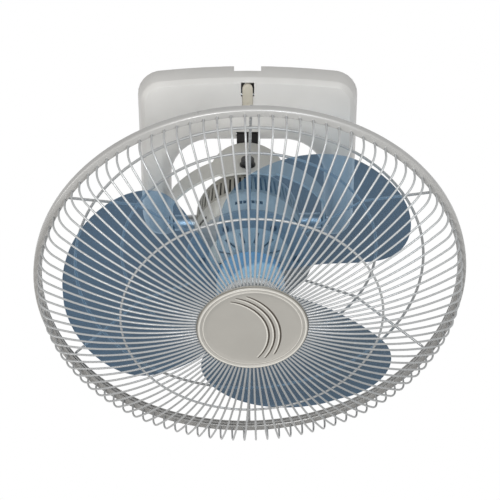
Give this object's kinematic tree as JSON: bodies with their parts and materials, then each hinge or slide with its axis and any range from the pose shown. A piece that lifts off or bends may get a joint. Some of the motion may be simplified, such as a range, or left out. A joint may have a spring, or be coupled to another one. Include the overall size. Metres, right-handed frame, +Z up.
{
  "type": "orbital ceiling fan",
  "caption": "Caged ceiling fan whose motor head hangs in a two-axis gimbal under a U-shaped base and is swung round in a cone by a crank on its gearbox.",
  "frame": {"origin": "Centre of the four main ceiling bolt holes, on the ceiling face of the mounting plate, straight above the crossing point of the gimbal axes.", "axes": "+Z points up into the ceiling, +X across the base from leg to leg, and +Y along the legs towards their open ends. The closed near side of the base is -Y."},
  "size_m": [0.4518, 0.4472, 0.2522],
  "materials": {
    "housing_grey": "light warm pearl grey, fine satin gloss",
    "plate_zinc": "zinc-plated pressed steel",
    "rubber_black": "soft black rubber",
    "terminal_black": "black moulded plastic",
    "capacitor_white": "plain off-white plastic case",
    "bracket_black": "black painted pressed steel",
    "screw_steel": "plated steel",
    "pin_steel": "ground steel",
    "bush_black": "black moulded plastic",
    "latch_cream": "cream plastic",
    "spring_steel": "spring steel",
    "yoke_paint": "light warm grey enamel",
    "frame_aluminium": "die-cast",
    "motor_cream": "cream, semi-gloss",
    "stator_steel": "stacked laminations",
    "winding_copper": "varnished copper wire",
    "bearing_steel": "polished steel",
    "gearbox_grey": "grey moulded plastic",
    "guard_paint": "light warm grey powder coat",
    "rim_plastic": "light warm grey, satin",
    "screw_black": "blackened steel",
    "badge_satin": "beige-grey satin cap",
    "rotor_steel": "stacked laminations",
    "blade_blue": "translucent blue, polished",
    "hub_white": "off-white",
    "gear_brass": "machined"
  },
  "bodies": {
    "base": {"mounting_plate": "plate_zinc", "base_housing": "housing_grey", "cable_grommet": "rubber_black", "terminal_block": "terminal_black", "capacitor": "capacitor_white", "pivot_bracket": "bracket_black", "bracket_screws": "screw_steel", "crank_anchor": "bracket_black", "anchor_screws": "screw_steel", "housing_screws": "screw_steel", "roll_pin": "pin_steel", "pivot_cap": "bush_black", "latch_pin": "pin_steel", "latch_spring": "spring_steel"},
    "latch": {"latch_lever": "latch_cream"},
    "yoke": {"yoke": "yoke_paint", "roll_bush": "bush_black", "trunnion_bushes": "bush_black"},
    "head": {"motor_frame": "frame_aluminium", "trunnion_pins": "pin_steel", "rear_cover": "motor_cream", "front_cover": "motor_cream", "stator_core": "stator_steel", "windings": "winding_copper", "rear_bearing": "bearing_steel", "front_bearing": "bearing_steel", "gearbox_case": "gearbox_grey", "gearbox_cover": "gearbox_grey", "gearbox_screws": "screw_steel", "rear_guard_collar": "guard_paint", "collar_screws": "screw_black", "rear_ribs": "guard_paint", "rear_ring_inner": "guard_paint", "rear_ring_outer": "guard_paint", "guard_rim": "rim_plastic", "front_spokes": "guard_paint", "front_mid_ring": "guard_paint", "hub_plate": "guard_paint", "badge": "badge_satin", "badge_screw": "screw_steel"},
    "rotor": {"motor_shaft": "pin_steel", "rotor_core": "rotor_steel", "blades": "blade_blue", "hub_cap": "hub_white"},
    "cross": {"cross_shaft": "gear_brass"},
    "lay": {"lay_shaft": "gear_brass"},
    "output": {"output_gear": "gear_brass"}
  },
  "joints": [
    {"name": "yoke_roll", "type": "hinge", "parent": "base", "child": "yoke", "pos_m": [0, 0, -0.074], "axis": [0, 1, 0], "range_deg": [-7.2, 10.7]},
    {"name": "head_pitch", "type": "hinge", "parent": "yoke", "child": "head", "pos_m": [0, 0, -0.074], "axis": [0.9995, 0, 0.031], "range_deg": [-17.8, 0.17]},
    {"name": "blade_spin", "type": "hinge", "parent": "head", "child": "rotor", "pos_m": [0.00184, 0.0092, -0.13326], "axis": [-0.0307, -0.1534, 0.9877], "continuous": true},
    {"name": "cross_spin", "type": "hinge", "parent": "head", "child": "cross", "pos_m": [-0.00059, -0.01459, -0.05502], "axis": [0.9995, 0, 0.031], "continuous": true},
    {"name": "lay_spin", "type": "hinge", "parent": "head", "child": "lay", "pos_m": [0.01435, -0.00322, -0.05279], "axis": [-0.0307, -0.1534, 0.9877], "continuous": true},
    {"name": "crank_spin", "type": "hinge", "parent": "head", "child": "output", "pos_m": [-0.00113, -0.00568, -0.03746], "axis": [-0.0307, -0.1534, 0.9877], "continuous": true},
    {"name": "latch_press", "type": "hinge", "parent": "base", "child": "latch", "pos_m": [0, -0.128, -0.0195], "axis": [1, 0, 0], "range_deg": [0, 12], "stiffness_Nm_per_rad": 0.01, "springref_deg": -8.59, "deforming": ["latch_spring"]}
  ],
  "couplings": [
    {"joint": "cross_spin", "follows": "blade_spin", "ratio": 0.1},
    {"joint": "lay_spin", "follows": "blade_spin", "ratio": 0.01},
    {"joint": "crank_spin", "follows": "blade_spin", "ratio": -0.0038462}
  ]
}
